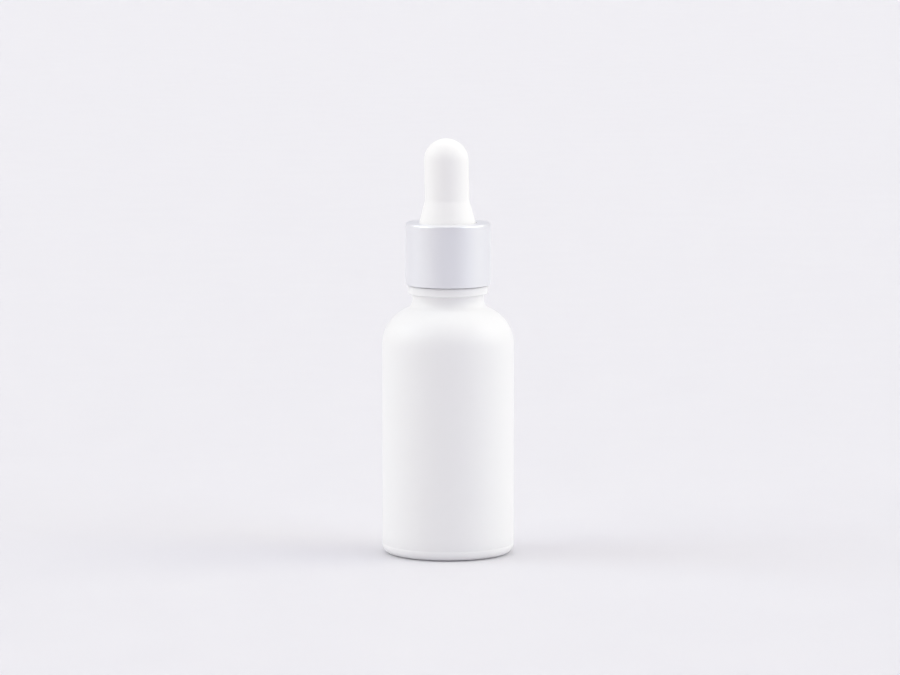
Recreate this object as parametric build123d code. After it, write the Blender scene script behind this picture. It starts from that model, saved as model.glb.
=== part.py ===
from build123d import *
from math import acos, degrees, sqrt
import os

# A round dropper bottle: a glass bottle with a threaded neck, and a dropper closure made of a plastic
# screw cap inside a thin metal shell, a rubber teat, a glass pipette, a gasket and a neck wiper.
# Millimetres. The bottle stands on Z = 0 with its axis on Z. The front faces -Y.

# --- driving dimensions -------------------------------------------------------------------------

# bottle
body_d = 33.0  # outside diameter of the body
bottle_h = 78.6  # height of the glass, to its rim
glass_wall = 2.0
floor_t = 4.0  # inside floor above the standing surface
heel_r = 2.2  # rounding where the side meets the base
inner_heel_r = 4.0
punt_depth = 1.2  # hollow under the base
ring_w = 1.2  # width of the standing ring
shoulder_r = 9.85
waist_h = 1.45
waist_out = 1.0  # the neck below the bead stands out this far from the finish above it
waist_blend_r = 2.5  # concave rounding between the shoulder and the waist
inner_blend_r = 2.5  # the same on the inside, where the bore opens out
bead_out = 2.05  # the same for the bead
bead_h = 1.95
bead_round = 0.45
finish_h = 11.15  # neck above the bead
finish_d = 15.8  # neck at the root of the thread
bore_d = 11.2
rim_round = 0.4

# thread
pitch = 3.0
thread_depth = 1.0  # of the ridge on the glass
ridge_root_w = 1.7
ridge_crest_w = 0.7
bottle_turns = 1.5
cap_turns = 1.25
ridge_sink = 0.3  # share of the ridge's height that is sunk in the wall
thread_top_gap = 2.7  # from the rim down to the middle of the ridge's end
thread_crest_gap = 0.25  # radial, crest of one thread to the root of the other
thread_lift = 0.2  # of the cap's ridge above the middle of the groove, towards the ridge it bears on
cap_lead = 0.12  # turns between the lower ends of the two ridges

# pipette
pipette_d = 7.0
pipette_bore_d = 5.0
tip_gap = 6.0  # from the bottle's floor to the tip
tip_d = 3.0
tip_bore_d = 1.2
tip_straight = 1.6  # straight end below the taper
taper_h = 11.0
lip_t = 0.75
lip_w = 0.7  # the lip's overhang

# neck wiper
wiper_flange_t = 0.8
wiper_flange_inset = 0.3  # from the root of the thread
wiper_depth = 7.0
wiper_wall = 0.9
wiper_press = 0.03  # radial press of the plug in the bore
wiper_lip_t = 0.6
wiper_gap = 0.1  # round the pipette

# gasket
gasket_t = 1.0
gasket_hole_gap = 0.2

# inner cap
plate_t = 1.3
skirt_wall = 0.9  # outside the root of the cap's thread
rib_h = 0.2
rib_w = 0.5
rib_count = 36
stem_h = 6.8
stem_wall = 1.05

# collar shell
shell_t = 0.4
shell_top_round = 0.45
bead_gap = 0.35  # from the bead up to the shell
hem_w = 0.5  # edge turned in under the skirt
hole_gap = 0.1  # between the teat and the hole in the shell

# teat
flange_t = 1.15
flange_inset = 0.25  # from the inside of the cap's ribs
sleeve_wall = 0.9  # over the top of the stem
teat_wall = 1.25
teat_pole_r = 0.1  # small flat at the very top of the dome
teat_base_out = 1.5  # where it leaves the shell, out from the bulb
cone_h = 5.5
straight_h = 9.95  # from the cone to the dome
cone_blend_r = 3.0
grip_h = 8.2  # height of each squeezed wall
grip_half_w = 3.2
grip_slot = 0.25  # free gap round each squeezed wall

seat_gap = 0.05  # between faces that turn or slide on each other
run_gap = 0.05  # radial, the pipette and the teat on the stem

# --- levels and radii that follow ---------------------------------------------------------------


def shoulder_rise(wall_r, neck_r, round_r, blend_r):
    """Height from the start of the shoulder to the straight neck, on two arcs that touch."""
    return sqrt((round_r + blend_r) ** 2 - (neck_r + blend_r - wall_r + round_r) ** 2)


body_r = body_d / 2
finish_r = finish_d / 2
waist_r = finish_r + waist_out
bead_r = finish_r + bead_out
bore_r = bore_d / 2
pipette_r = pipette_d / 2

rim_z = bottle_h
bead_top = rim_z - finish_h
waist_top = bead_top - bead_h
shoulder_z = waist_top - waist_h - shoulder_rise(body_r, waist_r, shoulder_r, waist_blend_r)
bottle_thread_z = rim_z - thread_top_gap - bottle_turns * pitch
cap_thread_z = bottle_thread_z - pitch / 2 + thread_lift + cap_lead * pitch

crest_r = finish_r + thread_depth
cap_root_r = crest_r + thread_crest_gap
cap_crest_r = finish_r + thread_crest_gap
skirt_r = cap_root_r + skirt_wall
shell_in_r = skirt_r + rib_h
shell_out_r = shell_in_r + shell_t
shell_bottom = bead_top + bead_gap
skirt_bottom = shell_bottom + shell_t

gasket_bottom = rim_z + wiper_flange_t
plate_bottom = gasket_bottom + gasket_t
plate_top = plate_bottom + plate_t
stem_top = plate_top + stem_h
stem_bore_r = pipette_r + run_gap
stem_r = stem_bore_r + stem_wall
tip_z = floor_t + tip_gap
lip_bottom = stem_top + seat_gap
lip_top = lip_bottom + lip_t
seal_r = finish_r - wiper_flange_inset

flange_bottom = plate_top + seat_gap
flange_top = flange_bottom + flange_t
shell_top = flange_top + seat_gap + shell_t
flange_r = shell_in_r - flange_inset
sleeve_r = stem_r + run_gap
bulb_r = sleeve_r + sleeve_wall
bulb_in_r = bulb_r - teat_wall
teat_base_r = bulb_r + teat_base_out
hole_r = teat_base_r + hole_gap
cone_top = shell_top + cone_h
dome_z = cone_top + straight_h
teat_top = dome_z + bulb_r
sleeve_top = lip_top + run_gap
grip_z = (sleeve_top + teat_wall / 2 + dome_z) / 2


# --- outlines and threads -----------------------------------------------------------------------


def rounded(face, *corners):
    """Round corners of a flat outline. Each corner is (radius, height, rounding)."""
    for radius, height, rounding in corners:
        face = fillet(face.vertices().sort_by_distance((radius, height))[0], rounding)
    return face


def outline(*corners):
    """A closed outline. Each corner is (radius, height), or (radius, height, rounding)."""
    face = make_face(Polyline(*[corner[:2] for corner in corners], close=True))
    return rounded(face, *[corner for corner in corners if len(corner) == 3])


def turned(face):
    """Turn an outline about Z."""
    return revolve(Plane.XZ * face, Axis.Z)


def flask_outline(wall_r, neck_r, round_r, blend_r, base, top):
    """A closed outline with a base, a straight side, a round shoulder, a neck and a top."""
    rise = shoulder_rise(wall_r, neck_r, round_r, blend_r)
    share = round_r / (round_r + blend_r)
    arc_r = wall_r - round_r
    meet = (arc_r + (neck_r + blend_r - arc_r) * share, shoulder_z + rise * share)
    neck = (neck_r, shoulder_z + rise)
    shoulder = RadiusArc((wall_r, shoulder_z), meet, -round_r) + RadiusArc(meet, neck, blend_r)
    below = Polyline(*base, (wall_r, shoulder_z))
    above = Polyline(neck, *top, base[0])
    return make_face(below + shoulder + above)


def ridge(root_r, tip_r, start_z, start_angle, turns):
    """A helical thread ridge from root_r to tip_r that fades out at both ends."""
    flank = (ridge_root_w - ridge_crest_w) / 2
    sunk_r = root_r + (root_r - tip_r) * ridge_sink
    sunk_w = ridge_root_w / 2 + flank * ridge_sink
    section = Polyline(
        (sunk_r, -sunk_w),
        (tip_r, -ridge_crest_w / 2),
        (tip_r, ridge_crest_w / 2),
        (sunk_r, sunk_w),
        close=True,
    )
    path = Helix(pitch, turns * pitch, sunk_r)
    body = Pos(0, 0, start_z) * Rot(0, 0, start_angle) * sweep(
        Plane.XZ * make_face(section), path=path, is_frenet=True
    )
    body -= fade_block(root_r, tip_r, start_z, start_angle, 1)
    return body - fade_block(root_r, tip_r, start_z + turns * pitch, start_angle + 360 * turns, -1)


def fade_block(root_r, tip_r, end_z, end_angle, way):
    """The block that cuts a ridge's end to a flat ramp, which touches the smaller of the two radii."""
    fade_angle = degrees(acos(min(root_r, tip_r) / max(root_r, tip_r)))
    wall = Vector(root_r, 0).rotate(Axis.Z, end_angle)
    tip = Vector(tip_r, 0).rotate(Axis.Z, end_angle + way * fade_angle)
    face = Plane(origin=wall, x_dir=tip - wall, z_dir=(0, 0, 1))
    side = -way if tip_r > root_r else way
    depth = 2 * thread_depth
    run = (tip - wall).length + thread_depth
    rise = pitch * fade_angle / 360
    height = (ridge_root_w + pitch) / 2 + rise
    block = Box(run, depth, height)
    return face * Pos(run / 2, side * depth / 2, end_z + way * rise / 2) * block


# --- the pieces ---------------------------------------------------------------------------------


def make_bottle():
    """The glass: body, shoulder, waist, bead, threaded neck and bore, one piece."""
    ring_r = body_r - heel_r - ring_w
    punt_r = (ring_r**2 + punt_depth**2) / (2 * punt_depth)
    inner_r = body_r - glass_wall
    outside = flask_outline(
        body_r,
        waist_r,
        shoulder_r,
        waist_blend_r,
        base=[(0, 0), (body_r, 0)],
        top=[
            (waist_r, waist_top),
            (bead_r, waist_top),
            (bead_r, bead_top),
            (finish_r, bead_top),
            (finish_r, rim_z),
            (0, rim_z),
        ],
    )
    outside = rounded(
        outside,
        (body_r, 0, heel_r),
        (bead_r, waist_top, bead_round),
        (bead_r, bead_top, bead_round),
        (finish_r, rim_z, rim_round),
    )
    inside = flask_outline(
        inner_r,
        bore_r,
        shoulder_r - glass_wall,
        inner_blend_r,
        base=[(0, floor_t), (inner_r, floor_t)],
        top=[(bore_r, rim_z), (0, rim_z)],
    )
    inside = rounded(inside, (inner_r, floor_t, inner_heel_r))
    punt = make_face(
        RadiusArc((ring_r, 0), (0, punt_depth), -punt_r) + Polyline((0, punt_depth), (0, 0), (ring_r, 0))
    )
    return turned(outside - inside - punt) + ridge(finish_r, crest_r, bottle_thread_z, 0, bottle_turns)


def make_neck_wiper():
    """A plug pressed into the bore, with a flange on the rim and a wiping lip at its foot."""
    plug_r = bore_r + wiper_press
    tube_r = bore_r - wiper_wall
    lip_r = pipette_r + wiper_gap
    foot = rim_z - wiper_depth
    lip_z = foot + wiper_lip_t
    return turned(
        outline(
            (tube_r, lip_z + tube_r - lip_r),
            (tube_r, gasket_bottom),
            (seal_r, gasket_bottom),
            (seal_r, rim_z),
            (plug_r, rim_z),
            (plug_r, foot),
            (lip_r, foot),
            (lip_r, lip_z),
        )
    )


def make_gasket():
    """The flat sealing ring between the neck and the cap's plate."""
    hole_r = pipette_r + gasket_hole_gap
    return turned(
        outline(
            (hole_r, gasket_bottom),
            (seal_r, gasket_bottom),
            (seal_r, plate_bottom),
            (hole_r, plate_bottom),
        )
    )


def make_pipette():
    """A glass tube with a lip at the top that sits on the stem, drawn down to a fine tip."""
    tube_in_r = pipette_bore_d / 2
    lip_r = pipette_r + lip_w
    straight_z = tip_z + tip_straight
    tube_z = straight_z + taper_h
    return turned(
        outline(
            (tip_bore_d / 2, tip_z),
            (tip_d / 2, tip_z, (tip_d - tip_bore_d) / 5),
            (tip_d / 2, straight_z),
            (pipette_r, tube_z, 2 * taper_h),
            (pipette_r, lip_bottom),
            (lip_r, lip_bottom),
            (lip_r, lip_top, lip_t / 2),
            (tube_in_r, lip_top),
            (tube_in_r, tube_z, 2 * taper_h),
            (tip_bore_d / 2, straight_z),
        )
    )


def make_inner_cap():
    """The screw cap: ribbed skirt with the internal thread, a plate, and the stem on it."""
    shape = turned(
        outline(
            (cap_root_r, skirt_bottom),
            (skirt_r, skirt_bottom),
            (skirt_r, plate_top),
            (stem_r, plate_top),
            (stem_r, stem_top),
            (stem_bore_r, stem_top),
            (stem_bore_r, plate_bottom),
            (cap_root_r, plate_bottom),
        )
    )
    rib_length = plate_top - skirt_bottom
    # each rib is sunk by its own height, so that its flat back lies inside the skirt
    rib = Pos(skirt_r, 0, skirt_bottom + rib_length / 2) * Box(2 * rib_h, rib_w, rib_length)
    shape += PolarLocations(0, rib_count) * rib
    drop = pitch / 2 - thread_lift
    start_angle = 360 * (cap_thread_z + drop - bottle_thread_z) / pitch
    return shape + ridge(cap_root_r, cap_crest_r, cap_thread_z, start_angle, cap_turns)


def make_collar_shell():
    """The thin metal cover: a straight cup with a hole in its top and a turned-in lower edge."""
    return turned(
        outline(
            (shell_in_r - hem_w, shell_bottom),
            (shell_out_r, shell_bottom),
            (shell_out_r, shell_top, shell_top_round),
            (hole_r, shell_top),
            (hole_r, shell_top - shell_t),
            (shell_in_r, shell_top - shell_t),
            (shell_in_r, skirt_bottom),
            (shell_in_r - hem_w, skirt_bottom),
        )
    )


def make_teat():
    """The rubber teat, whole: flange under the shell, cone over the stem, bulb and dome."""
    return turned(
        outline(
            (sleeve_r, flange_bottom),
            (flange_r, flange_bottom),
            (flange_r, flange_top),
            (teat_base_r, flange_top),
            (teat_base_r, shell_top),
            (bulb_r, cone_top, cone_blend_r),
            (bulb_r, teat_top, bulb_r - teat_pole_r),
            (0, teat_top),
            (0, teat_top - teat_wall),
            (bulb_in_r, teat_top - teat_wall, bulb_in_r - teat_pole_r),
            (bulb_in_r, sleeve_top),
            (sleeve_r, sleeve_top),
        )
    )


def split_teat(whole):
    """The teat with two slots in its sides, and the two walls that fingers squeeze."""
    reach = 2 * bulb_r
    block = Pos(0, 0, grip_z) * Box(2 * grip_half_w, reach, grip_h)
    slot = Pos(0, 0, grip_z) * Box(2 * (grip_half_w + grip_slot), reach, grip_h + 2 * grip_slot)
    walls = (whole & block).solids().sort_by(Axis.Y)
    return whole - slot, walls[0], walls[-1]


teat, teat_front_wall, teat_back_wall = split_teat(make_teat())
pieces = {
    "bottle": make_bottle(),
    "neck_wiper": make_neck_wiper(),
    "gasket": make_gasket(),
    "pipette": make_pipette(),
    "inner_cap": make_inner_cap(),
    "collar_shell": make_collar_shell(),
    "teat": teat,
    "teat_front_wall": teat_front_wall,
    "teat_back_wall": teat_back_wall,
}

os.makedirs("parts", exist_ok=True)
for name, piece in pieces.items():
    export_step(piece, f"parts/{name}.step")
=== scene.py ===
"""Builds the visual model of a white dropper bottle around its fixed frame.

Metres, +Z up, front at -Y.
"""

import math

import bmesh
import bpy
from bpy.props import FloatProperty, FloatVectorProperty, IntProperty, PointerProperty
from bpy.types import Operator, Panel, PropertyGroup
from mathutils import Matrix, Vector
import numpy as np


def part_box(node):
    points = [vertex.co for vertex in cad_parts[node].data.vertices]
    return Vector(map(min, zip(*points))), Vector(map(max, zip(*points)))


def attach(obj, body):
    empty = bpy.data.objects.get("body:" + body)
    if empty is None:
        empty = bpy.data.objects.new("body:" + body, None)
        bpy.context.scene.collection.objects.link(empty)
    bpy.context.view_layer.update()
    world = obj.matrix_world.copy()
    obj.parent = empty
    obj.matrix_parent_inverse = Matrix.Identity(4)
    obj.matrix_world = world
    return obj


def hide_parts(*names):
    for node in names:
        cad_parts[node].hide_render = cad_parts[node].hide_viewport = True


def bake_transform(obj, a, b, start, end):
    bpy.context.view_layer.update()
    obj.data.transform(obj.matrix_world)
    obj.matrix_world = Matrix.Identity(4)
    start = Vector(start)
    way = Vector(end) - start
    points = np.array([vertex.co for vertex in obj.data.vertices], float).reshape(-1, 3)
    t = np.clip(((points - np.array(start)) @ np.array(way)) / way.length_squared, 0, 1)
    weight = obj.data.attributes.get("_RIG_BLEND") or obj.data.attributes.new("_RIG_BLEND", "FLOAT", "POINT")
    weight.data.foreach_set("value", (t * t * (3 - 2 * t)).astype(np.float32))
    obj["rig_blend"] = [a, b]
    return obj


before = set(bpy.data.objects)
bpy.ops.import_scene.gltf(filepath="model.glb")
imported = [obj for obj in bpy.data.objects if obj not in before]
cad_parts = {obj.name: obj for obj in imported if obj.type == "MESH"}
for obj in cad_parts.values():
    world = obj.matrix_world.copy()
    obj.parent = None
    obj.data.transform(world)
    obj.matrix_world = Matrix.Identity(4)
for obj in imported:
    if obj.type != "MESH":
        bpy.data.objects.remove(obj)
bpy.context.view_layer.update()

bl_info = {
    "name": "Dropper Bottle",
    "version": (1, 0, 0),
    "blender": (4, 5, 0),
    "location": "View3D > Sidebar > Dropper",
    "description": "Builds a white dropper bottle: glass, collar, rubber teat, pipette and studio",
    "category": "Object",
}

MM = 0.001
ARC_STEP = math.radians(6)  # turn of an outline in one step of a round corner
FEWEST_STEPS = 3  # steps of the smallest round corner
LONGEST = 2.5 * MM  # longest straight step of an outline
MERGE = 1e-7  # points closer than this are one
SHARP = math.radians(32)  # edges that turn more than this stay sharp


def low(node):
    """Lowest corner of a part of the frame."""
    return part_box(node)[0]


def high(node):
    """Highest corner of a part of the frame."""
    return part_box(node)[1]


def length(name, description, default):
    """A size in metres."""
    return FloatProperty(
        name=name,
        description=description,
        default=default,
        min=0.0,
        precision=5,
        subtype="DISTANCE",
        unit="LENGTH",
    )


def share(name, description, default):
    """A number from 0 to 1."""
    return FloatProperty(
        name=name, description=description, default=default, min=0.0, max=1.0, subtype="FACTOR"
    )


def colour(name, description, default):
    """A linear colour."""
    return FloatVectorProperty(
        name=name,
        description=description,
        default=default,
        min=0.0,
        max=1.0,
        size=3,
        subtype="COLOR",
    )


def glow(name, description, default):
    """A linear colour of light, which may be brighter than 1."""
    return FloatVectorProperty(
        name=name, description=description, default=default, min=0.0, size=3, subtype="COLOR"
    )


# --- settings -----------------------------------------------------------------------------------


class DropperGlassSettings(PropertyGroup):
    """The white glass bottle."""

    body_radius: length("Body radius", "Outside radius of the straight side", high("bottle").x)
    rim_height: length("Rim height", "Height of the glass, to its rim", high("bottle").z)
    wall: length("Wall", "Thickness of the side", 2.0 * MM)
    floor: length("Floor", "Height of the inside floor", 4.0 * MM)
    heel: length("Heel", "Rounding where the side meets the base", 2.2 * MM)
    seam: length("Seam", "Depth of the fine mould line above the heel", 0.05 * MM)
    shoulder: length("Shoulder", "Radius of the round shoulder", 9.85 * MM)
    waist_blend: length("Waist blend", "Hollow rounding from the shoulder to the waist", 2.5 * MM)
    waist_height: length("Waist height", "Straight neck below the bead", 1.45 * MM)
    waist_out: length("Waist step", "The waist stands out this far from the finish", 1.0 * MM)
    bead_out: length("Bead step", "The bead stands out this far from the finish", 2.05 * MM)
    bead_height: length("Bead height", "Height of the bead", 2.15 * MM)
    bead_round: length("Bead rounding", "Rounding of the bead's two edges", 0.4 * MM)
    finish_radius: length("Finish radius", "Neck at the root of the thread", 7.9 * MM)
    finish_height: length("Finish height", "Neck above the bead", 10.95 * MM)
    bore_radius: length("Bore radius", "Inside radius of the neck", 5.6 * MM)
    pitch: length("Pitch", "Rise of the thread in one turn", 3.0 * MM)
    thread_depth: length("Thread depth", "Height of the thread ridge", 1.0 * MM)
    steps: IntProperty(name="Steps", description="Faces round the bottle", default=192, min=48, max=384)
    tint: colour("Glass", "Colour of the white glass", (0.93, 0.93, 0.93))
    gloss: share("Roughness", "Roughness of the white glass", 0.44)


class DropperCollarSettings(PropertyGroup):
    """The lacquered collar and the plastic cap inside it."""

    radius: length("Radius", "Outside radius of the collar", high("collar_shell").x)
    bottom: length("Bottom", "Height of the lower edge", low("collar_shell").z)
    top: length("Top", "Height of the flat top", high("collar_shell").z)
    wall: length("Wall", "Thickness of the metal", 0.4 * MM)
    edge: length("Edge", "Rounding of the top edge", 0.6 * MM)
    hem: length("Hem", "Edge turned in under the cap", 0.5 * MM)
    hole: length("Hole", "Radius of the hole for the teat", 7.2 * MM)
    steps: IntProperty(name="Steps", description="Faces round the collar", default=160, min=48, max=384)
    tint: colour("Lacquer", "Colour of the collar's lacquer", (0.87, 0.88, 0.915))
    gloss: share("Roughness", "Roughness of the lacquer", 0.36)
    cap_tint: colour("Cap", "Colour of the plastic cap", (0.84, 0.84, 0.83))


class DropperTeatSettings(PropertyGroup):
    """The rubber teat."""

    top: length("Top", "Height of the dome", high("teat").z)
    bulb_radius: length("Bulb radius", "Outside radius of the bulb", 5.55 * MM)
    wall: length("Wall", "Thickness of the bulb", 1.25 * MM)
    sleeve_radius: length("Sleeve radius", "Inside radius over the stem", 4.65 * MM)
    base_out: length("Base step", "The cone's foot stands out this far from the bulb", 1.5 * MM)
    cone_height: length("Cone height", "Height of the cone above the collar", 5.5 * MM)
    cone_blend: length("Cone blend", "Hollow rounding from the cone to the bulb", 3.0 * MM)
    flange: length("Flange", "Thickness of the flange under the collar", 1.15 * MM)
    lean: length("Lean", "Sideways lean of the dome", 0.51 * MM)
    steps: IntProperty(name="Steps", description="Faces round the teat", default=144, min=48, max=384)
    tint: colour("Rubber", "Colour of the rubber", (0.965, 0.96, 0.95))
    gloss: share("Roughness", "Roughness of the rubber", 0.5)


class DropperPipetteSettings(PropertyGroup):
    """The glass pipette, and the wiper and gasket that it passes through."""

    radius: length("Radius", "Outside radius of the tube", 3.5 * MM)
    bore: length("Bore", "Inside radius of the tube", 2.5 * MM)
    tip_radius: length("Tip radius", "Outside radius of the tip", 1.5 * MM)
    tip_bore: length("Tip bore", "Inside radius of the tip", 0.6 * MM)
    tip_straight: length("Tip straight", "Straight end below the taper", 1.6 * MM)
    taper: length("Taper", "Height of the taper", 11.0 * MM)
    lip: length("Lip", "Thickness of the lip at the top", 0.75 * MM)
    steps: IntProperty(name="Steps", description="Faces round the pipette", default=96, min=32, max=256)
    tint: colour("Glass", "Colour of the clear glass", (0.985, 0.995, 0.99))
    wiper_tint: colour("Wiper", "Colour of the natural plastic wiper", (0.82, 0.83, 0.82))
    gasket_tint: colour("Gasket", "Colour of the soft gasket", (0.80, 0.80, 0.77))


class DropperStageSettings(PropertyGroup):
    """The floor, the lights and the camera."""

    floor_tint: colour("Floor", "Colour of the floor", (0.731, 0.722, 0.759))
    sky_front: glow("Front sky", "Light from the camera's side", (0.258, 0.232, 0.303))
    sky_back: glow("Back sky", "Light from behind", (0.58, 0.58, 0.66))
    sky_left: glow("Left sky", "Light from the left", (0.649, 0.532, 0.481))
    sky_right: glow("Right sky", "Light from the right", (0.708, 0.663, 0.648))
    sky_top: glow("Top sky", "Light from above", (1.143, 1.117, 1.119))
    left_light: glow("Left light", "Strength of the left soft light", (0.626, 0.734, 0.756))
    right_light: glow("Right light", "Strength of the right soft light", (0.7, 0.717, 0.59))
    left_fill: glow(
        "Left fill", "Strength of the soft light from the left and front", (0.3, 0.329, 0.297)
    )
    right_fill: glow(
        "Right fill", "Strength of the soft light from the right and front", (0.324, 0.379, 0.439)
    )
    distance: length(
        "Distance", "From the camera to the bottle's axis, along the floor", 1200 * MM
    )
    eye: length("Eye height", "Height of the camera", 196.5 * MM)
    aside: length("Aside", "The camera stands this far to the right of the axis", 0.49 * MM)
    tilt: FloatProperty(
        name="Tilt",
        description="How far the camera looks down",
        default=math.radians(6.756),
        subtype="ANGLE",
        unit="ROTATION",
    )
    lens: FloatProperty(name="Lens", description="Focal length in millimetres", default=192.7, min=1.0)


# --- outlines and turned pieces -----------------------------------------------------------------


class Pen:
    """Draws an outline in the XZ plane, with straight runs and true arcs."""

    def __init__(self):
        self.mesh = bmesh.new()
        self.tip = None
        self.start = None

    def line_to(self, point):
        """A straight run to (radius, height), or the first point."""
        place = Vector((point[0], 0.0, point[1]))
        if self.tip is None:
            self.tip = self.start = self.mesh.verts.new(place)
        elif (self.tip.co - place).length > MERGE:
            self.tip = bmesh.ops.extrude_vert_indiv(self.mesh, verts=[self.tip])["verts"][0]
            self.tip.co = place

    def arc(self, centre, angle):
        """A round stretch about a centre. A positive angle turns from +X towards +Z."""
        made = bmesh.ops.spin(
            self.mesh,
            geom=[self.tip],
            cent=(centre[0], 0.0, centre[1]),
            axis=(0.0, -1.0, 0.0),
            dvec=(0.0, 0.0, 0.0),
            angle=angle,
            steps=max(FEWEST_STEPS, math.ceil(abs(angle) / ARC_STEP)),
            use_merge=False,
        )
        self.tip = next(item for item in made["geom_last"] if isinstance(item, bmesh.types.BMVert))

    def close(self):
        """Joins the outline's end to its start."""
        self.mesh.edges.new((self.tip, self.start))


def outline(corners, closed=False, longest=LONGEST):
    """Outline through corners, each (radius, height) or (radius, height, rounding)."""
    pen = Pen()
    for number, corner in enumerate(corners):
        here = Vector(corner[:2])
        if len(corner) == 2:
            pen.line_to(here)
            continue
        way_in = (here - Vector(corners[number - 1][:2])).normalized()
        way_out = (Vector(corners[(number + 1) % len(corners)][:2]) - here).normalized()
        turn = way_in.angle(way_out)
        side = math.copysign(1.0, way_in.x * way_out.y - way_in.y * way_out.x)
        entry = here - way_in * corner[2] * math.tan(turn / 2)
        centre = entry + Vector((-way_in.y, way_in.x)) * side * corner[2]
        pen.line_to(entry)
        pen.arc(centre, side * turn)
    if closed:
        pen.close()
    split_long(pen.mesh, pen.mesh.edges[:], longest)
    return pen.mesh


def split_long(mesh, edges, longest):
    """Divides the edges that are longer than a limit."""
    for edge in edges:
        cuts = math.ceil(edge.calc_length() / longest) - 1
        if cuts > 0:
            bmesh.ops.subdivide_edges(mesh, edges=[edge], cuts=cuts)


def turned(mesh, steps):
    """Turns an outline about Z into a closed skin."""
    bmesh.ops.spin(
        mesh,
        geom=mesh.verts[:] + mesh.edges[:],
        cent=(0.0, 0.0, 0.0),
        axis=(0.0, 0.0, 1.0),
        dvec=(0.0, 0.0, 0.0),
        angle=math.tau,
        steps=steps,
        use_merge=True,
    )
    bmesh.ops.remove_doubles(mesh, verts=mesh.verts[:], dist=MERGE)
    bmesh.ops.recalc_face_normals(mesh, faces=mesh.faces[:])
    return mesh


def piece(name, mesh, material):
    """A finished mesh piece at the origin, from a bmesh."""
    old = bpy.data.objects.get(name)
    if old is not None:
        bpy.data.objects.remove(old)
    data = bpy.data.meshes.new(name)
    mesh.to_mesh(data)
    mesh.free()
    data.shade_smooth()
    data.set_sharp_from_angle(angle=SHARP)
    data.materials.append(material)
    made = bpy.data.objects.new(name, data)
    bpy.context.scene.collection.objects.link(made)
    return made


def smooth_step(value, start, end):
    """0 before start, 1 after end, and a smooth rise between them."""
    part = min(1.0, max(0.0, (value - start) / (end - start)))
    return part * part * (3.0 - 2.0 * part)


# --- shader groups and materials ----------------------------------------------------------------


def new_group(name, inputs, outputs):
    """A shader node group with named sockets: (tree, input node, output node)."""
    old = bpy.data.node_groups.get(name)
    if old is not None:
        bpy.data.node_groups.remove(old)
    tree = bpy.data.node_groups.new(name, "ShaderNodeTree")
    for label, kind, value in inputs:
        socket = tree.interface.new_socket(label, in_out="INPUT", socket_type=kind)
        if value is not None:
            socket.default_value = value
    for label, kind in outputs:
        tree.interface.new_socket(label, in_out="OUTPUT", socket_type=kind)
    return tree, tree.nodes.new("NodeGroupInput"), tree.nodes.new("NodeGroupOutput")


def noise(tree, vector, scale, detail=3.0):
    """A noise texture's value on a vector."""
    node = tree.nodes.new("ShaderNodeTexNoise")
    node.inputs["Detail"].default_value = detail
    node.inputs["Roughness"].default_value = 0.55
    tree.links.new(vector, node.inputs["Vector"])
    if isinstance(scale, bpy.types.NodeSocket):
        tree.links.new(scale, node.inputs["Scale"])
    else:
        node.inputs["Scale"].default_value = scale
    return node.outputs["Fac"]


def maths(tree, operation, *values):
    """A Math node on sockets and numbers."""
    node = tree.nodes.new("ShaderNodeMath")
    node.operation = operation
    for place, value in zip(node.inputs, values):
        if isinstance(value, bpy.types.NodeSocket):
            tree.links.new(value, place)
        else:
            place.default_value = value
    return node.outputs["Value"]


def map_range(tree, value, start, end, out_start, out_end):
    """A Map Range node on sockets and numbers, clamped."""
    node = tree.nodes.new("ShaderNodeMapRange")
    for label, entry in (
        ("Value", value),
        ("From Min", start),
        ("From Max", end),
        ("To Min", out_start),
        ("To Max", out_end),
    ):
        if isinstance(entry, bpy.types.NodeSocket):
            tree.links.new(entry, node.inputs[label])
        else:
            node.inputs[label].default_value = entry
    return node.outputs["Result"]


def grain_group():
    """Fine moulded grain over a slow wave, as a height from 0 to 1."""
    tree, given, result = new_group(
        "Surface Grain",
        [
            ("Vector", "NodeSocketVector", None),
            ("Grain Scale", "NodeSocketFloat", 3500.0),
            ("Wave Scale", "NodeSocketFloat", 160.0),
            ("Wave Share", "NodeSocketFloat", 0.6),
        ],
        [("Height", "NodeSocketFloat")],
    )
    grain = noise(tree, given.outputs["Vector"], given.outputs["Grain Scale"], 4.0)
    wave = noise(tree, given.outputs["Vector"], given.outputs["Wave Scale"], 1.0)
    waved = maths(tree, "MULTIPLY", wave, given.outputs["Wave Share"])
    rest = maths(tree, "SUBTRACT", 1.0, given.outputs["Wave Share"])
    grained = maths(tree, "MULTIPLY", grain, rest)
    tree.links.new(maths(tree, "ADD", waved, grained), result.inputs["Height"])
    return tree


def handling_group():
    """Patchy gloss from handling: a roughness between two values, in clouds and fine specks."""
    tree, given, result = new_group(
        "Handling Marks",
        [
            ("Vector", "NodeSocketVector", None),
            ("Patch Scale", "NodeSocketFloat", 45.0),
            ("Low", "NodeSocketFloat", 0.4),
            ("High", "NodeSocketFloat", 0.5),
        ],
        [("Roughness", "NodeSocketFloat"), ("Mask", "NodeSocketFloat")],
    )
    finer, speck_share = 22.0, 0.3
    start, end = 0.35, 0.65
    patch = noise(tree, given.outputs["Vector"], given.outputs["Patch Scale"], 5.0)
    speck_scale = maths(tree, "MULTIPLY", given.outputs["Patch Scale"], finer)
    speck = noise(tree, given.outputs["Vector"], speck_scale, 2.0)
    patched = maths(tree, "MULTIPLY", patch, 1.0 - speck_share)
    mixed = maths(tree, "MULTIPLY_ADD", speck, speck_share, patched)
    rough = map_range(tree, mixed, start, end, given.outputs["Low"], given.outputs["High"])
    tree.links.new(rough, result.inputs["Roughness"])
    tree.links.new(map_range(tree, mixed, start, end, 0.0, 1.0), result.inputs["Mask"])
    return tree


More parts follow.
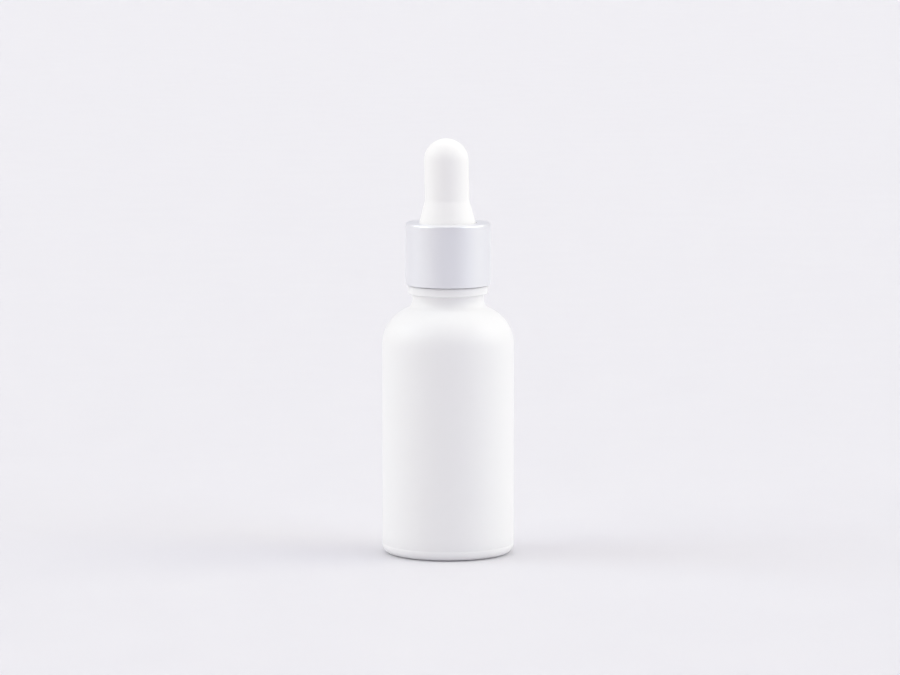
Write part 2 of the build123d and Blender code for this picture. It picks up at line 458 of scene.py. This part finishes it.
def tint_group():
    """A colour that drifts a little towards a second one."""
    tree, given, result = new_group(
        "Tint Drift",
        [
            ("Vector", "NodeSocketVector", None),
            ("Color", "NodeSocketColor", (0.9, 0.9, 0.9, 1.0)),
            ("Drift", "NodeSocketColor", (0.88, 0.88, 0.88, 1.0)),
            ("Scale", "NodeSocketFloat", 60.0),
            ("Amount", "NodeSocketFloat", 0.5),
        ],
        [("Color", "NodeSocketColor")],
    )
    start, end = 0.3, 0.7
    drifting = noise(tree, given.outputs["Vector"], given.outputs["Scale"], 3.0)
    cloud = map_range(tree, drifting, start, end, 0.0, 1.0)
    mix = tree.nodes.new("ShaderNodeMix")
    mix.data_type = "RGBA"
    tree.links.new(maths(tree, "MULTIPLY", cloud, given.outputs["Amount"]), mix.inputs["Factor"])
    tree.links.new(given.outputs["Color"], mix.inputs["A"])
    tree.links.new(given.outputs["Drift"], mix.inputs["B"])
    tree.links.new(mix.outputs["Result"], result.inputs["Color"])
    return tree


def rings_group():
    """Fine lathe rings round the axis, as a height from 0 to 1."""
    tree, given, result = new_group(
        "Lathe Rings",
        [("Vector", "NodeSocketVector", None), ("Rings per Metre", "NodeSocketFloat", 9000.0)],
        [("Height", "NodeSocketFloat")],
    )
    parts = tree.nodes.new("ShaderNodeSeparateXYZ")
    tree.links.new(given.outputs["Vector"], parts.inputs["Vector"])
    x_squared = maths(tree, "MULTIPLY", parts.outputs["X"], parts.outputs["X"])
    y_squared = maths(tree, "MULTIPLY", parts.outputs["Y"], parts.outputs["Y"])
    across = maths(tree, "SQRT", maths(tree, "ADD", x_squared, y_squared))
    join = tree.nodes.new("ShaderNodeCombineXYZ")
    tree.links.new(maths(tree, "ADD", across, parts.outputs["Z"]), join.inputs["Z"])
    rings = noise(tree, join.outputs["Vector"], given.outputs["Rings per Metre"], 2.0)
    tree.links.new(rings, result.inputs["Height"])
    return tree


def group(name):
    """A shader group, made once."""
    makers = {
        "Surface Grain": grain_group,
        "Handling Marks": handling_group,
        "Tint Drift": tint_group,
        "Lathe Rings": rings_group,
    }
    return bpy.data.node_groups.get(name) or makers[name]()


def place_group(tree, name, vector, **values):
    """A group node in a material, with its own values. Spaces in a socket's name are written as _."""
    node = tree.nodes.new("ShaderNodeGroup")
    node.node_tree = group(name)
    tree.links.new(vector, node.inputs["Vector"])
    for label, value in values.items():
        node.inputs[label.replace("_", " ")].default_value = value
    return node


def rgba(values):
    """A colour with full alpha."""
    return (*values, 1.0)


def shade(values, factor):
    """A colour made darker or lighter."""
    return tuple(value * factor for value in values)


def finish_material(name, tint, drift, gloss, grain, bump, tint_scale=60.0, spread=0.05):
    """A moulded or coated surface: drifting tint, patchy gloss and a grained, slightly wavy skin.

    grain is (grain scale, wave scale, wave share), and bump is (strength, distance).
    """
    old = bpy.data.materials.get(name)
    if old is not None:
        bpy.data.materials.remove(old)
    material = bpy.data.materials.new(name)
    material.use_nodes = True
    tree = material.node_tree
    shader = tree.nodes["Principled BSDF"]
    vector = tree.nodes.new("ShaderNodeTexCoord").outputs["Object"]
    tinted = place_group(
        tree,
        "Tint Drift",
        vector,
        Color=rgba(tint),
        Drift=rgba(drift),
        Scale=tint_scale,
        Amount=0.6,
    )
    tree.links.new(tinted.outputs["Color"], shader.inputs["Base Color"])
    handled = place_group(tree, "Handling Marks", vector, Low=gloss - spread, High=gloss + spread)
    tree.links.new(handled.outputs["Roughness"], shader.inputs["Roughness"])
    grain_scale, wave_scale, wave_share = grain
    skin = place_group(
        tree,
        "Surface Grain",
        vector,
        Grain_Scale=grain_scale,
        Wave_Scale=wave_scale,
        Wave_Share=wave_share,
    )
    relief = tree.nodes.new("ShaderNodeBump")
    relief.inputs["Strength"].default_value, relief.inputs["Distance"].default_value = bump
    tree.links.new(skin.outputs["Height"], relief.inputs["Height"])
    tree.links.new(relief.outputs["Normal"], shader.inputs["Normal"])
    return material, shader, relief, vector


def scatter(shader, weight, depth):
    """Lets light scatter under the surface, equally in every colour."""
    shader.inputs["Subsurface Weight"].default_value = weight
    shader.inputs["Subsurface Radius"].default_value = (1.0, 1.0, 1.0)
    shader.inputs["Subsurface Scale"].default_value = depth


def white_glass(settings):
    """White opal glass with a satin skin."""
    material, shader = finish_material(
        "white_glass",
        settings.tint,
        shade(settings.tint, 0.985),
        settings.gloss,
        grain=(2600.0, 110.0, 0.75),
        bump=(0.25, 0.04 * MM),
        tint_scale=35.0,
    )[:2]
    shader.inputs["IOR"].default_value = 1.5
    scatter(shader, 0.5, 1.0 * MM)
    return material


def collar_lacquer(settings):
    """Satin white lacquer over turned aluminium."""
    material, shader, relief, vector = finish_material(
        "collar_lacquer",
        settings.tint,
        shade(settings.tint, 0.98),
        settings.gloss,
        grain=(5200.0, 240.0, 0.4),
        bump=(0.2, 0.02 * MM),
    )
    tree = material.node_tree
    rings = place_group(tree, "Lathe Rings", vector, Rings_per_Metre=9000.0)
    turning = tree.nodes.new("ShaderNodeBump")
    turning.inputs["Strength"].default_value = 0.12
    turning.inputs["Distance"].default_value = 0.01 * MM
    tree.links.new(rings.outputs["Height"], turning.inputs["Height"])
    tree.links.new(relief.outputs["Normal"], turning.inputs["Normal"])
    tree.links.new(turning.outputs["Normal"], shader.inputs["Normal"])
    shader.inputs["Metallic"].default_value = 0.5
    shader.inputs["Coat Weight"].default_value = 0.35
    shader.inputs["Coat Roughness"].default_value = 0.3
    shader.inputs["Sheen Weight"].default_value = 0.45
    shader.inputs["Sheen Roughness"].default_value = 0.4
    return material


def white_rubber(settings):
    """Smooth white silicone rubber."""
    material, shader = finish_material(
        "white_rubber",
        settings.tint,
        shade(settings.tint, 0.985),
        settings.gloss,
        grain=(3800.0, 300.0, 0.5),
        bump=(0.3, 0.03 * MM),
        tint_scale=90.0,
    )[:2]
    shader.inputs["IOR"].default_value = 1.42
    shader.inputs["Sheen Weight"].default_value = 0.1
    shader.inputs["Sheen Roughness"].default_value = 0.5
    return material


def clear_glass(settings):
    """Clear drawn glass."""
    material, shader = finish_material(
        "clear_glass",
        settings.tint,
        shade(settings.tint, 0.995),
        0.03,
        grain=(900.0, 60.0, 0.85),
        bump=(0.15, 0.02 * MM),
        spread=0.012,
    )[:2]
    shader.inputs["IOR"].default_value = 1.47
    shader.inputs["Transmission Weight"].default_value = 1.0
    return material


def plain_plastic(name, tint, gloss, grain, bump):
    """Injection-moulded plastic or soft foam, by its grain."""
    return finish_material(name, tint, shade(tint, 0.96), gloss, grain=grain, bump=bump)[0]


# --- the bottle ---------------------------------------------------------------------------------


def shoulder_corners(wall_r, neck_r, round_r, blend_r, neck_z):
    """Two rounded corners whose arcs touch: the shoulder, and the hollow that ends at neck_z."""
    across = neck_r + blend_r - (wall_r - round_r)
    reach = round_r + blend_r
    rise = math.sqrt(reach**2 - across**2)
    start_z = neck_z - rise
    meet = Vector((wall_r - round_r + across * round_r / reach, start_z + rise * round_r / reach))
    slope = -across / rise
    return (
        start_z,
        (wall_r, meet.y + (wall_r - meet.x) * slope, round_r),
        (neck_r, meet.y + (neck_r - meet.x) * slope, blend_r),
    )


def thread_height(settings, place):
    """Height of the thread ridge at a point of the neck, from its distance along the helix."""
    turns, top_gap = 1.5, 2.7 * MM
    root_half, crest_half = 0.85 * MM, 0.3 * MM
    start_z = settings.rim_height - top_gap - turns * settings.pitch
    angle = math.atan2(place.y, place.x) % math.tau
    fade = math.acos(settings.finish_radius / (settings.finish_radius + settings.thread_depth))
    found = 0.0
    for lap in range(math.ceil(turns)):
        along = angle + lap * math.tau
        if along > turns * math.tau:
            break
        off = abs(place.z - start_z - settings.pitch * along / math.tau)
        height = settings.thread_depth * (1.0 - smooth_step(off, crest_half, root_half))
        end = min(along, turns * math.tau - along)
        if end < fade:
            height = min(height, settings.finish_radius * (1.0 / math.cos(end) - 1.0))
        found = max(found, height)
    return found


def bottle_mesh(settings):
    """The glass as one closed skin: outside, threaded neck, bore, inside and hollow base."""
    bead_top = settings.rim_height - settings.finish_height
    bead_bottom = bead_top - settings.bead_height
    neck_z = bead_bottom - settings.waist_height
    waist_r = settings.finish_radius + settings.waist_out
    bead_r = settings.finish_radius + settings.bead_out
    body_r, heel = settings.body_radius, settings.heel
    inner_r = body_r - settings.wall
    ring_w, punt, seam_half = 1.2 * MM, 1.2 * MM, 0.12 * MM
    ring_r = body_r - heel - ring_w
    punt_blend, inner_blend, inner_heel = 20 * MM, 2.5 * MM, 4.0 * MM
    waist_round, finish_round, rim_round = 0.35 * MM, 0.3 * MM, 0.4 * MM
    start_z, shoulder, hollow = shoulder_corners(body_r, waist_r, settings.shoulder, settings.waist_blend, neck_z)
    inner_start, inner_shoulder, inner_hollow = shoulder_corners(
        inner_r, settings.bore_radius, settings.shoulder - settings.wall, inner_blend, 0.0
    )
    drop = start_z - inner_start
    corners = [
        (0.0, punt),
        (ring_r * 0.55, punt * 0.72, punt_blend),
        (ring_r, 0.0, ring_w),
        (body_r, 0.0, heel),
        (body_r, heel + seam_half),
        (body_r - settings.seam, heel + 2 * seam_half),
        (body_r, heel + 3 * seam_half),
        shoulder,
        hollow,
        (waist_r, bead_bottom, waist_round),
        (bead_r, bead_bottom, settings.bead_round),
        (bead_r, bead_top, settings.bead_round),
        (settings.finish_radius, bead_top, finish_round),
        (settings.finish_radius, settings.rim_height, rim_round),
        (settings.bore_radius, settings.rim_height, rim_round),
        (inner_hollow[0], inner_hollow[1] + drop, inner_hollow[2]),
        (inner_shoulder[0], inner_shoulder[1] + drop, inner_shoulder[2]),
        (inner_r, settings.floor, inner_heel),
        (0.0, settings.floor),
    ]
    mesh = outline(corners)
    thread_row = 0.13 * MM
    finish = [
        edge
        for edge in mesh.edges
        if all(abs(vert.co.x - settings.finish_radius) < MERGE for vert in edge.verts)
        and edge.verts[0].co.z + edge.verts[1].co.z > 2 * bead_top
    ]
    split_long(mesh, finish, thread_row)
    turned(mesh, settings.steps)
    for vert in mesh.verts:
        across = math.hypot(vert.co.x, vert.co.y)
        if abs(across - settings.finish_radius) < MERGE * 10 and vert.co.z > bead_top:
            grow = 1.0 + thread_height(settings, vert.co) / across
            vert.co.x *= grow
            vert.co.y *= grow
    return mesh


class DROPPER_OT_bottle(Operator):
    """Build the white glass bottle with its threaded neck"""

    bl_idname = "dropper.bottle"
    bl_label = "Glass bottle"

    def execute(self, context):
        settings = context.scene.dropper_glass
        made = piece("glass_bottle", bottle_mesh(settings), white_glass(settings))
        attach(made, "bottle")
        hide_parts("bottle")
        return {"FINISHED"}


# --- collar and cap -----------------------------------------------------------------------------


class DROPPER_OT_collar(Operator):
    """Build the lacquered collar and finish the plastic cap inside it"""

    bl_idname = "dropper.collar"
    bl_label = "Collar and cap"

    def execute(self, context):
        settings = context.scene.dropper_collar
        inner_r = settings.radius - settings.wall
        hem_r = inner_r - settings.hem
        hem_round, lip_round = 0.1 * MM, 0.12 * MM
        corners = [
            (hem_r, settings.bottom, hem_round),
            (settings.radius, settings.bottom, hem_round),
            (settings.radius, settings.top, settings.edge),
            (settings.hole, settings.top, lip_round),
            (settings.hole, settings.top - settings.wall, lip_round),
            (inner_r, settings.top - settings.wall, hem_round),
            (inner_r, settings.bottom + settings.wall, hem_round),
            (hem_r, settings.bottom + settings.wall, hem_round),
        ]
        mesh = turned(outline(corners, closed=True), settings.steps)
        made = piece("collar", mesh, collar_lacquer(settings))
        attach(made, "closure")
        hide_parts("collar_shell")
        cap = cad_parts["inner_cap"]
        cap.data.materials.clear()
        plastic = plain_plastic(
            "cap_plastic",
            settings.cap_tint,
            0.42,
            grain=(2400.0, 180.0, 0.5),
            bump=(0.3, 0.03 * MM),
        )
        cap.data.materials.append(plastic)
        return {"FINISHED"}


# --- teat ---------------------------------------------------------------------------------------


def lean_at(settings, collar, height):
    """Sideways lean of the teat at a height, from nothing at the middle of the collar."""
    start = (collar.bottom + collar.top) / 2
    return settings.lean * max(0.0, (height - start) / (settings.top - start))


def teat_mesh(settings, collar):
    """The rubber teat as one closed skin, hollow inside, leaning a little at the top."""
    bulb_r = settings.bulb_radius
    inner_r = bulb_r - settings.wall
    base_r = bulb_r + settings.base_out
    cone_top = collar.top + settings.cone_height
    flange_top = collar.top - collar.wall - 0.05 * MM
    flange_bottom = flange_top - settings.flange
    flange_r = high("teat").x
    sleeve_top = high("pipette").z + 0.05 * MM
    edge, dome_flat = 0.15 * MM, 0.1 * MM
    corners = [
        (0.0, settings.top),
        (bulb_r, settings.top, bulb_r - dome_flat),
        (bulb_r, cone_top, settings.cone_blend),
        (base_r, collar.top, edge),
        (base_r, flange_top, edge),
        (flange_r, flange_top, edge),
        (flange_r, flange_bottom, edge),
        (settings.sleeve_radius, flange_bottom, edge),
        (settings.sleeve_radius, sleeve_top, edge),
        (inner_r, sleeve_top, edge),
        (inner_r, settings.top - settings.wall, inner_r - dome_flat),
        (0.0, settings.top - settings.wall),
    ]
    mesh = turned(outline(corners, longest=0.5 * MM), settings.steps)
    for vert in mesh.verts:
        across = math.hypot(vert.co.x, vert.co.y)
        on_stem = vert.co.z < sleeve_top + MERGE and across < settings.sleeve_radius + edge
        if not on_stem:
            vert.co.x -= lean_at(settings, collar, vert.co.z)
    return mesh


def squeeze_weights(made, collar, settings):
    """How far each point follows the squeezed walls: 0 the back, 1 the front, 0.5 neither."""
    grip = low("teat_back_wall").z, high("teat_back_wall").z
    start, end = high("pipette").z + 0.3 * MM, settings.top - 0.8 * MM
    low_full, high_full = grip[0] + 2.4 * MM, grip[1] - 2.6 * MM
    weights = made.data.attributes["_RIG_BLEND"].data
    for vert in made.data.vertices:
        lean = lean_at(settings, collar, vert.co.z)
        across = math.hypot(vert.co.x + lean, vert.co.y)
        facing = -vert.co.y / across if across > MERGE else 0.0
        rise = smooth_step(vert.co.z, start, low_full) * (1.0 - smooth_step(vert.co.z, high_full, end))
        weights[vert.index].value = 0.5 + 0.5 * facing * rise


class DROPPER_OT_teat(Operator):
    """Build the rubber teat, whose bulb is squeezed between its front and back walls"""

    bl_idname = "dropper.teat"
    bl_label = "Rubber teat"

    def execute(self, context):
        settings = context.scene.dropper_teat
        collar = context.scene.dropper_collar
        made = piece("rubber_teat", teat_mesh(settings, collar), white_rubber(settings))
        back, front = high("teat_back_wall"), low("teat_front_wall")
        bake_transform(made, "back_wall", "front_wall", start=(0, back.y, back.z), end=(0, front.y, back.z))
        squeeze_weights(made, collar, settings)
        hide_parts("teat", "teat_front_wall", "teat_back_wall")
        return {"FINISHED"}


# --- pipette, wiper and gasket ------------------------------------------------------------------


class DROPPER_OT_pipette(Operator):
    """Build the clear glass pipette"""

    bl_idname = "dropper.pipette"
    bl_label = "Glass pipette"

    def execute(self, context):
        settings = context.scene.dropper_pipette
        tip_z, top_z = low("pipette").z, high("pipette").z
        lip_r = high("pipette").x
        straight_z = tip_z + settings.tip_straight
        tube_z = straight_z + settings.taper
        sweep = 2 * settings.taper
        end = 0.35 * MM
        corners = [
            (settings.tip_bore, tip_z, end),
            (settings.tip_radius, tip_z, end),
            (settings.tip_radius, straight_z, 6.0 * MM),
            (settings.radius, tube_z, sweep),
            (settings.radius, top_z - settings.lip, 0.3 * MM),
            (lip_r, top_z - settings.lip, settings.lip * 0.45),
            (lip_r, top_z, settings.lip * 0.45),
            (settings.bore, top_z, 0.3 * MM),
            (settings.bore, tube_z, sweep),
            (settings.tip_bore, straight_z, 6.0 * MM),
        ]
        mesh = turned(outline(corners, closed=True), settings.steps)
        made = piece("glass_pipette", mesh, clear_glass(settings))
        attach(made, "dropper")
        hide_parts("pipette")
        return {"FINISHED"}


class DROPPER_OT_seals(Operator):
    """Build the neck wiper and the gasket"""

    bl_idname = "dropper.seals"
    bl_label = "Wiper and gasket"

    def execute(self, context):
        settings = context.scene.dropper_pipette
        glass = context.scene.dropper_glass
        rim = glass.rim_height
        foot, top = low("neck_wiper").z, high("neck_wiper").z
        flange_r = high("neck_wiper").x
        tube_r = glass.bore_radius - 0.9 * MM
        lip_r = settings.radius + 0.1 * MM
        lip_top = foot + 0.6 * MM
        edge = 0.2 * MM
        wiper = [
            (tube_r, lip_top + tube_r - lip_r, edge),
            (tube_r, top, edge),
            (flange_r, top, edge),
            (flange_r, rim, edge),
            (glass.bore_radius, rim, edge / 2),
            (glass.bore_radius, foot, edge),
            (lip_r, foot, edge),
            (lip_r, lip_top, edge / 2),
        ]
        plastic = plain_plastic(
            "wiper_plastic", settings.wiper_tint, 0.38, grain=(1800.0, 200.0, 0.6), bump=(0.25, 0.03 * MM)
        )
        made = piece("neck_plug", turned(outline(wiper, closed=True), settings.steps), plastic)
        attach(made, "bottle")
        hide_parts("neck_wiper")
        hole_r = settings.radius + 0.2 * MM
        bottom, lid = low("gasket").z, high("gasket").z
        ring = [
            (hole_r, bottom, edge),
            (flange_r, bottom, edge),
            (flange_r, lid, edge),
            (hole_r, lid, edge),
        ]
        foam = plain_plastic(
            "gasket_foam", settings.gasket_tint, 0.85, grain=(2600.0, 500.0, 0.3), bump=(0.8, 0.08 * MM)
        )
        made = piece("seal_ring", turned(outline(ring, closed=True), settings.steps), foam)
        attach(made, "seal")
        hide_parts("gasket")
        return {"FINISHED"}


# --- stage --------------------------------------------------------------------------------------


def soft_light(name, aim, spread, strength):
    """A distant soft light that shines along a direction."""
    data = bpy.data.lights.new(name, "SUN")
    data.angle = spread
    data.energy = max(strength)
    data.color = [value / max(strength) for value in strength]
    made = bpy.data.objects.new(name, data)
    made.location = -Vector(aim)
    made.rotation_euler = Vector(aim).to_track_quat("-Z", "Y").to_euler()
    bpy.context.scene.collection.objects.link(made)
    return made


def light_tent(settings):
    """A world of soft light whose colour blends between five sides."""
    world = bpy.data.worlds.new("light_tent")
    bpy.context.scene.world = world
    world.use_nodes = True
    tree = world.node_tree
    background = tree.nodes["Background"]
    parts = tree.nodes.new("ShaderNodeSeparateXYZ")
    tree.links.new(tree.nodes.new("ShaderNodeTexCoord").outputs["Generated"], parts.inputs["Vector"])
    total = None
    for name, axis, side in (
        ("sky_front", "Y", -1.0),
        ("sky_back", "Y", 1.0),
        ("sky_left", "X", -1.0),
        ("sky_right", "X", 1.0),
        ("sky_top", "Z", 1.0),
    ):
        facing = maths(tree, "MAXIMUM", maths(tree, "MULTIPLY", parts.outputs[axis], side), 0.0)
        scaled = tree.nodes.new("ShaderNodeVectorMath")
        scaled.name = name
        scaled.operation = "SCALE"
        scaled.inputs[0].default_value = getattr(settings, name)
        tree.links.new(maths(tree, "MULTIPLY", facing, facing), scaled.inputs["Scale"])
        if total is None:
            total = scaled.outputs["Vector"]
            continue
        added = tree.nodes.new("ShaderNodeVectorMath")
        tree.links.new(total, added.inputs[0])
        tree.links.new(scaled.outputs["Vector"], added.inputs[1])
        total = added.outputs["Vector"]
    tree.links.new(total, background.inputs["Color"])
    background.inputs["Strength"].default_value = 1.0


def floor_material(settings):
    """Pale, softly translucent studio floor."""
    material, shader = finish_material(
        "studio_floor",
        settings.floor_tint,
        shade(settings.floor_tint, 0.995),
        0.6,
        grain=(1500.0, 20.0, 0.5),
        bump=(0.05, 0.05 * MM),
        tint_scale=4.0,
    )[:2]
    scatter(shader, 1.0, 6.0 * MM)
    return material


class DROPPER_OT_stage(Operator):
    """Build the floor, the lights and the camera"""

    bl_idname = "dropper.stage"
    bl_label = "Studio"

    def execute(self, context):
        settings = context.scene.dropper_stage
        mesh = bmesh.new()
        bmesh.ops.create_grid(mesh, x_segments=8, y_segments=8, size=6.0)
        floor = piece("studio_floor", mesh, floor_material(settings))
        light_tent(settings)
        for name, aim, spread in (
            ("left_light", (0.87, -0.05, -0.5), 42),
            ("right_light", (-0.87, -0.05, -0.5), 42),
            ("left_fill", (0.75, 0.43, -0.5), 36),
            ("right_fill", (-0.75, 0.43, -0.5), 36),
        ):
            soft_light(name, aim, math.radians(spread), getattr(settings, name))
        data = bpy.data.cameras.new("camera")
        data.lens = settings.lens
        data.sensor_width = 36.0
        camera = bpy.data.objects.new("camera", data)
        camera.location = (settings.aside, -settings.distance, settings.eye)
        camera.rotation_euler = (math.pi / 2 - settings.tilt, 0.0, 0.0)
        context.scene.collection.objects.link(camera)
        context.scene.camera = camera
        context.scene.view_settings.view_transform = "Standard"
        return {"FINISHED"}


# --- panel and registration ---------------------------------------------------------------------


class DROPPER_PT_panel(Panel):
    """Lists the pieces of the dropper bottle"""

    bl_idname = "DROPPER_PT_panel"
    bl_label = "Dropper Bottle"
    bl_space_type = "VIEW_3D"
    bl_region_type = "UI"
    bl_category = "Dropper"

    def draw(self, context):
        for operator in operators:
            self.layout.operator(operator.bl_idname)
        for name in settings_groups:
            box = self.layout.box()
            box.label(text=settings_groups[name].__doc__)
            group_settings = getattr(context.scene, name)
            for label in settings_groups[name].__annotations__:
                box.prop(group_settings, label)


settings_groups = {
    "dropper_glass": DropperGlassSettings,
    "dropper_collar": DropperCollarSettings,
    "dropper_teat": DropperTeatSettings,
    "dropper_pipette": DropperPipetteSettings,
    "dropper_stage": DropperStageSettings,
}
operators = (
    DROPPER_OT_stage,
    DROPPER_OT_bottle,
    DROPPER_OT_seals,
    DROPPER_OT_pipette,
    DROPPER_OT_collar,
    DROPPER_OT_teat,
)


def register():
    """Registers the settings, the operators and the panel."""
    for name, settings in settings_groups.items():
        bpy.utils.register_class(settings)
        setattr(bpy.types.Scene, name, PointerProperty(type=settings))
    for operator in (*operators, DROPPER_PT_panel):
        bpy.utils.register_class(operator)


def unregister():
    """Removes what register added."""
    for operator in (DROPPER_PT_panel, *reversed(operators)):
        bpy.utils.unregister_class(operator)
    for name, settings in settings_groups.items():
        delattr(bpy.types.Scene, name)
        bpy.utils.unregister_class(settings)


def main():
    """Builds every piece and the stage."""
    register()
    bpy.ops.dropper.stage()
    bpy.ops.dropper.bottle()
    bpy.ops.dropper.seals()
    bpy.ops.dropper.pipette()
    bpy.ops.dropper.collar()
    bpy.ops.dropper.teat()


if __name__ == "__main__":
    main()
